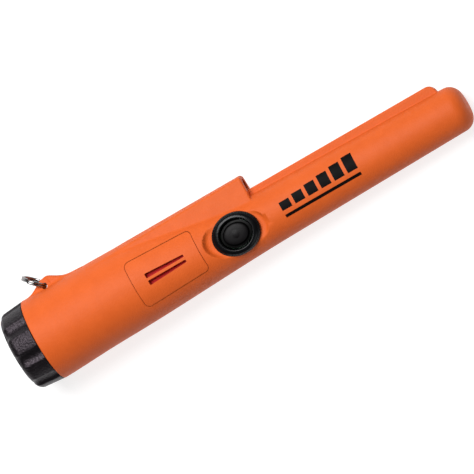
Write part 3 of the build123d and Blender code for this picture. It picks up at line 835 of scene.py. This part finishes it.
def grained(
    name, low, high, rough_low, rough_high, grain=2600.0, strength=0.25, distance=0.00008, specular=0.5
):
    """Moulded plastic or rubber: mottled colour, uneven gloss and a fine grain."""
    made, tree, shader = material(name)
    mottle = noise(tree, 160.0, 4.0, 0.6)
    tree.links.new(ramp(tree, mottle, low, high), shader.inputs["Base Color"])
    gloss = map_range(tree, noise(tree, 420.0, 3.0), rough_low, rough_high)
    tree.links.new(gloss, shader.inputs["Roughness"])
    shader.inputs["Specular IOR Level"].default_value = specular
    if strength:
        bump(tree, shader, noise(tree, grain, 3.0, 0.6), strength, distance)
    return made


def metal(name, low, high, rough_low, rough_high, scale=900.0):
    made, tree, shader = material(name)
    shader.inputs["Metallic"].default_value = 1.0
    tree.links.new(ramp(tree, noise(tree, scale, 4.0), low, high), shader.inputs["Base Color"])
    gloss = map_range(tree, noise(tree, scale * 2, 3.0), rough_low, rough_high)
    tree.links.new(gloss, shader.inputs["Roughness"])
    bump(tree, shader, noise(tree, scale * 3, 2.0), 0.1, 0.00003)
    return made


def cap_material():
    """Black plastic with a fine texture, a little weaker in the flutes and on the rear face."""
    made, tree, shader = material("cap_black")
    mottle = noise(tree, 300.0, 3.0)
    colour = ramp(tree, mottle, (0.0018, 0.0015, 0.0018), (0.0040, 0.0032, 0.0038))
    tree.links.new(colour, shader.inputs["Base Color"])
    place = tree.nodes.new("ShaderNodeTexCoord")
    split = tree.nodes.new("ShaderNodeSeparateXYZ")
    tree.links.new(place.outputs["Object"], split.inputs["Vector"])
    angle = tree.nodes.new("ShaderNodeMath")
    angle.operation = "ARCTAN2"
    tree.links.new(split.outputs["Z"], angle.inputs[0])
    tree.links.new(split.outputs["Y"], angle.inputs[1])
    turned = tree.nodes.new("ShaderNodeMath")
    turned.operation = "MULTIPLY_ADD"
    turned.inputs[1].default_value = CAP_FLUTES
    turned.inputs[2].default_value = pi - radians(CAP_FLUTE_ANGLE) * CAP_FLUTES
    tree.links.new(angle.outputs[0], turned.inputs[0])
    wave = tree.nodes.new("ShaderNodeMath")
    wave.operation = "COSINE"
    tree.links.new(turned.outputs[0], wave.inputs[0])
    land = tree.nodes.new("ShaderNodeMapRange")
    land.inputs["From Min"].default_value = CAP_LANDS[0]
    land.inputs["From Max"].default_value = CAP_LANDS[1]
    tree.links.new(wave.outputs[0], land.inputs["Value"])
    back = tree.nodes.new("ShaderNodeMapRange")
    back.inputs["From Min"].default_value = CAP_REAR_FADE[0]
    back.inputs["From Max"].default_value = CAP_REAR_FADE[1]
    tree.links.new(split.outputs["X"], back.inputs["Value"])
    both = tree.nodes.new("ShaderNodeMath")
    both.operation = "MULTIPLY"
    tree.links.new(land.outputs["Result"], both.inputs[0])
    tree.links.new(back.outputs["Result"], both.inputs[1])
    tree.links.new(map_range(tree, both.outputs[0], 0.40, 0.42), shader.inputs["Roughness"])
    grain = tree.nodes.new("ShaderNodeMath")
    grain.operation = "MULTIPLY"
    tree.links.new(noise(tree, 1100.0, 2.0, 0.6), grain.inputs[0])
    tree.links.new(map_range(tree, both.outputs[0], 0.8, 1.0), grain.inputs[1])
    shader.inputs["Specular IOR Level"].default_value = 0.34
    shader.inputs["Specular Tint"].default_value = (1.0, 0.84, 0.97, 1.0)
    bump(tree, shader, grain.outputs[0], 1.0, 0.00032)
    return made


def pad_material():
    """Dark rubber crown, with painted groove shade blending the flange round it to near-black."""
    made = grained(
        "button_rubber", (0.0030, 0.0024, 0.0028), (0.0045, 0.0036, 0.0042),
        0.42, 0.52, grain=2200.0, strength=0.3, distance=0.00006, specular=0.12,
    )
    tree = made.node_tree
    shader = tree.nodes["Principled BSDF"]
    place = tree.nodes.new("ShaderNodeTexCoord")
    shift = tree.nodes.new("ShaderNodeVectorMath")
    shift.operation = "SUBTRACT"
    shift.inputs[1].default_value = (BUTTON_X * MM, BUTTON_Y * MM, 0.0)
    tree.links.new(place.outputs["Object"], shift.inputs[0])
    stretch = tree.nodes.new("ShaderNodeVectorMath")
    stretch.operation = "MULTIPLY"
    stretch.inputs[1].default_value = (1.0 / (CROWN_X * MM), 1.0 / (CROWN_Y * MM), 0.0)
    tree.links.new(shift.outputs["Vector"], stretch.inputs[0])
    span = tree.nodes.new("ShaderNodeVectorMath")
    span.operation = "LENGTH"
    tree.links.new(stretch.outputs["Vector"], span.inputs[0])
    # Painted groove shade: an oval mask from 0.9 to 1.0 of the crown's size blends the colour to
    # near-black over the flange.
    edge = tree.nodes.new("ShaderNodeMapRange")
    edge.inputs["From Min"].default_value = 0.90
    edge.inputs["From Max"].default_value = 1.0
    tree.links.new(span.outputs["Value"], edge.inputs["Value"])
    colour = shader.inputs["Base Color"].links[0].from_socket
    groove_shade_mix = tree.nodes.new("ShaderNodeMix")
    groove_shade_mix.data_type = "RGBA"
    groove_shade_mix.inputs["B"].default_value = (0.0008, 0.0008, 0.0008, 1.0)
    tree.links.new(edge.outputs["Result"], groove_shade_mix.inputs["Factor"])
    tree.links.new(colour, groove_shade_mix.inputs["A"])
    tree.links.new(groove_shade_mix.outputs["Result"], shader.inputs["Base Color"])
    return made


def cloth_material(name, low, high):
    """Woven acoustic cloth: crossed threads as colour and height."""
    made, tree, shader = material(name)
    where = tree.nodes.new("ShaderNodeTexCoord")
    heights = []
    for direction in ("X", "Y"):
        wave = tree.nodes.new("ShaderNodeTexWave")
        wave.bands_direction = direction
        wave.inputs["Scale"].default_value = 700.0
        tree.links.new(where.outputs["Object"], wave.inputs["Vector"])
        heights.append(wave.outputs["Fac"])
    cross = tree.nodes.new("ShaderNodeMath")
    cross.operation = "MULTIPLY"
    tree.links.new(heights[0], cross.inputs[0])
    tree.links.new(heights[1], cross.inputs[1])
    tree.links.new(ramp(tree, cross.outputs[0], low, high, (0.1, 0.8)), shader.inputs["Base Color"])
    shader.inputs["Roughness"].default_value = 0.8
    bump(tree, shader, cross.outputs[0], 0.4, 0.0001)
    return made


def winding_material():
    """Enamelled copper: fine turns running round the bobbin."""
    made, tree, shader = material("enamelled_copper")
    where = tree.nodes.new("ShaderNodeTexCoord")
    wave = tree.nodes.new("ShaderNodeTexWave")
    wave.inputs["Scale"].default_value = 900.0
    wave.inputs["Distortion"].default_value = 0.4
    tree.links.new(where.outputs["Object"], wave.inputs["Vector"])
    colour = ramp(tree, wave.outputs["Fac"], (0.20, 0.04, 0.012), (0.62, 0.22, 0.07))
    tree.links.new(colour, shader.inputs["Base Color"])
    shader.inputs["Metallic"].default_value = 0.85
    tree.links.new(map_range(tree, wave.outputs["Fac"], 0.42, 0.26), shader.inputs["Roughness"])
    bump(tree, shader, wave.outputs["Fac"], 0.6, 0.0001)
    return made


def clear_material():
    made, tree, shader = material("clear_plastic")
    shader.inputs["Transmission Weight"].default_value = 0.9
    shader.inputs["IOR"].default_value = 1.49
    colour = ramp(tree, noise(tree, 300.0), (0.90, 0.91, 0.90), (0.97, 0.97, 0.96))
    tree.links.new(colour, shader.inputs["Base Color"])
    tree.links.new(map_range(tree, noise(tree, 900.0), 0.04, 0.12), shader.inputs["Roughness"])
    return made


def dress(piece, made):
    piece.data.materials.clear()
    piece.data.materials.append(made)


def lay_materials():
    looks = {
        "orange_plastic": grained(
            "orange_plastic", (0.60, 0.096, 0.0125), (0.64, 0.106, 0.0150),
            0.50, 0.60, grain=1500.0, strength=1.0, distance=0.00018, specular=0.2,
        ),
        "black_plastic": cap_material(),
        "bezel_plastic": grained(
            "bezel_black", (0.0018, 0.0018, 0.0022), (0.0035, 0.0035, 0.0042),
            0.20, 0.30, grain=1400.0, strength=0.4, distance=0.00006, specular=0.17,
        ),
        "button_rubber": pad_material(),
        "black_rubber": grained("seal_rubber", (0.012, 0.012, 0.012), (0.022, 0.022, 0.022), 0.45, 0.6),
        "red_screen": cloth_material("red_screen", (0.48, 0.006, 0.008), (0.66, 0.012, 0.015)),
        "grey_foam": grained(
            "grey_foam", (0.09, 0.09, 0.095), (0.22, 0.22, 0.23),
            0.85, 0.98, grain=1400.0, strength=0.9, distance=0.0004,
        ),
        "board_green": grained(
            "solder_mask", (0.008, 0.09, 0.03), (0.015, 0.14, 0.05),
            0.25, 0.4, grain=700.0, strength=0.1,
        ),
        "chip_black": grained(
            "chip_epoxy", (0.014, 0.014, 0.015), (0.03, 0.03, 0.032),
            0.5, 0.65, grain=3000.0,
        ),
        "white_plastic": grained("white_nylon", (0.66, 0.64, 0.58), (0.76, 0.74, 0.69), 0.42, 0.55),
        "grey_plastic": grained("grey_abs", (0.16, 0.165, 0.17), (0.23, 0.235, 0.245), 0.45, 0.6),
        "steel": metal("ring_steel", (0.20, 0.195, 0.195), (0.38, 0.37, 0.37), 0.14, 0.24),
        "bright_metal": metal("plated_steel", (0.55, 0.54, 0.52), (0.75, 0.74, 0.72), 0.22, 0.38),
        "battery_sleeve": grained(
            "battery_sleeve", (0.05, 0.055, 0.065), (0.09, 0.10, 0.115),
            0.2, 0.32, grain=500.0, strength=0.05,
        ),
        "copper_winding": winding_material(),
        "ferrite": grained(
            "ferrite_grey", (0.035, 0.035, 0.038), (0.07, 0.07, 0.075),
            0.4, 0.6, grain=1500.0, strength=0.5,
        ),
        "clear_lens": clear_material(),
        "speaker_brass": metal("speaker_brass", (0.58, 0.40, 0.14), (0.76, 0.57, 0.25), 0.25, 0.42),
        "lead_insulation": grained("lead_red", (0.30, 0.015, 0.015), (0.42, 0.03, 0.03), 0.35, 0.5),
    }
    slots = {row["node"]: row["material_slot"] for row in frame["record"]["subparts"]}
    for name, node in nodes.items():
        dress(node, looks[slots[name]])
    return looks


# ---------------------------------------------------------------- printed mark

MARK_BARS = 6
MARK_REAR = 136.0
MARK_PITCH = 6.7
MARK_WIDTH = 5.0
MARK_LOW = -3.6
MARK_STRIPE = (-7.0, -5.6)
MARK_FIRST_HEIGHT = 4.0
MARK_GROWTH = 0.7
MARK_PROUD = 0.035
MARK_SUNK = 0.2


def ink_patch(rear, front, low, high):
    """A thin printed rectangle lying on the probe, as (vertices, faces)."""
    along = 10
    across = 8
    vertices = []
    for lift in (MARK_PROUD, -MARK_SUNK):
        for i in range(along + 1):
            for j in range(across + 1):
                x = rear + (front - rear) * i / along
                y = low + (high - low) * j / across
                centre, radius = handle_circle(x)
                vertices.append((x * MM, y * MM, sqrt((radius + lift) ** 2 - (y - centre) ** 2) * MM))
    return vertices, slab_faces(along, across)


def make_mark():
    """A plain signal-strength mark: rising bars over a stripe."""
    vertices = []
    faces = []
    patches = []
    for k in range(MARK_BARS):
        rear = MARK_REAR + MARK_PITCH * k
        high = MARK_LOW + MARK_FIRST_HEIGHT + MARK_GROWTH * k
        patches.append((rear, rear + MARK_WIDTH, MARK_LOW, high))
    front = MARK_REAR + MARK_PITCH * (MARK_BARS - 1) + MARK_WIDTH
    patches.append((MARK_REAR, front, MARK_STRIPE[0], MARK_STRIPE[1]))
    for patch in patches:
        more_vertices, more_faces = ink_patch(*patch)
        faces += [tuple(v + len(vertices) for v in face) for face in more_faces]
        vertices += more_vertices
    mark = new_object("printed_mark", vertices, faces)
    consistent(mark)
    smooth(mark, 40.0)
    return mark


# ---------------------------------------------------------------- assembly


def stand_in(piece, node, slot, looks):
    """Let a piece show in place of a CAD node, on that node's body."""
    dress(piece, looks[slot])
    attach(piece, nodes[node]["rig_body"])
    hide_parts(node)


looks = lay_materials()
stand_in(make_housing(), "housing", "orange_plastic", looks)
stand_in(make_cover(), "speaker_cover", "orange_plastic", looks)
stand_in(make_cap(), "battery_cap", "black_plastic", looks)
stand_in(make_bezel(), "button_bezel", "bezel_plastic", looks)
stand_in(make_pad(), "power_button", "button_rubber", looks)
stand_in(make_split_ring(), "split_ring", "steel", looks)

mark = make_mark()
ink = grained(
    "printed_black", (0.0015, 0.0012, 0.0012), (0.004, 0.003, 0.003),
    0.50, 0.60, grain=1500.0, strength=0.2, distance=0.0001, specular=0.05,
)
dress(mark, ink)
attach(mark, nodes["housing"]["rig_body"])

# ---------------------------------------------------------------- stage, lights, camera

TILT = radians(9.1)
LEAN = radians(-0.4)
ROLL = radians(30.0)
VIEW_WIDTH = 209.3
LENS = 800.0
SENSOR = 36.0
AIM_ALONG = 98.2
AIM_ACROSS = -0.6
FLOOR_GAP = 0.1
FLOOR_HALF = 3.0
FLOOR_GLOW = 0.80
STUDIO_GLOW = 0.07
KEY_POWER = 14.6
FILL_POWER = 1.6

to_camera = Vector((sin(TILT), -cos(TILT) * sin(LEAN), cos(TILT) * cos(LEAN))).normalized()
along_view = (Vector((1, 0, 0)) - to_camera * to_camera.x).normalized()
across_view = to_camera.cross(along_view)
right = along_view * cos(ROLL) - across_view * sin(ROLL)
up = along_view * sin(ROLL) + across_view * cos(ROLL)
aim = (Vector((SEAM_X, PROBE_Y, 0.0)) + Vector((AIM_ALONG, 0, 0)) + across_view * AIM_ACROSS) * MM


def add_camera():
    data = bpy.data.cameras.new("camera")
    data.lens = LENS
    data.sensor_width = SENSOR
    data.clip_start = 0.01
    camera = bpy.data.objects.new("camera", data)
    bpy.context.scene.collection.objects.link(camera)
    distance = VIEW_WIDTH * MM * LENS / SENSOR
    turn = Matrix((right, up, to_camera)).transposed().to_4x4()
    camera.matrix_world = Matrix.Translation(aim + to_camera * distance) @ turn
    bpy.context.scene.camera = camera


def add_area(name, direction, distance, size, power):
    data = bpy.data.lights.new(name, "AREA")
    data.energy = power
    data.size = size
    lamp = bpy.data.objects.new(name, data)
    bpy.context.scene.collection.objects.link(lamp)
    heading = Vector(direction).normalized()
    lamp.location = aim + heading * distance
    lamp.rotation_mode = "QUATERNION"
    lamp.rotation_quaternion = heading.to_track_quat("Z", "Y")


def add_floor():
    """A pale floor, tilted to lie just under the handle's belly and the tip's underside."""
    stations = np.arange(SEAM_X, BLEND_END, 0.5)
    tip_x = LENGTH - TIP_EDGE
    slope = float(np.max((handle_circle(stations)[1] - TIP_RADIUS) / (tip_x - stations)))
    half = FLOOR_HALF
    low = -(TIP_RADIUS + FLOOR_GAP) * MM
    corners = [(-half, -half), (half, -half), (half, half), (-half, half)]
    vertices = [(x, y, low + (x - tip_x * MM) * slope) for x, y in corners]
    floor = new_object("floor", vertices, [(0, 1, 2, 3)])
    made, tree, shader = material("pale_floor")
    colour = ramp(tree, noise(tree, 4.0), (0.31, 0.31, 0.31), (0.34, 0.34, 0.34))
    tree.links.new(colour, shader.inputs["Base Color"])
    shader.inputs["Roughness"].default_value = 0.9
    shader.inputs["Specular IOR Level"].default_value = 0.1
    shader.inputs["Emission Color"].default_value = (1.0, 1.0, 1.0, 1.0)
    shader.inputs["Emission Strength"].default_value = FLOOR_GLOW
    dress(floor, made)


def add_world():
    world = bpy.data.worlds.new("studio")
    world.use_nodes = True
    shade = world.node_tree.nodes["Background"]
    shade.inputs["Color"].default_value = (1.0, 1.0, 1.0, 1.0)
    shade.inputs["Strength"].default_value = STUDIO_GLOW
    bpy.context.scene.world = world


add_camera()
toward_key = to_camera * 0.84 + across_view * 0.42 - along_view * 0.28
toward_fill = to_camera * 0.7 - across_view * 0.75 + along_view * 0.3
add_area("key", toward_key, distance=1.0, size=0.6, power=KEY_POWER)
add_area("fill", toward_fill, distance=1.2, size=0.6, power=FILL_POWER)
add_floor()
add_world()
bpy.context.scene.view_settings.view_transform = "Standard"
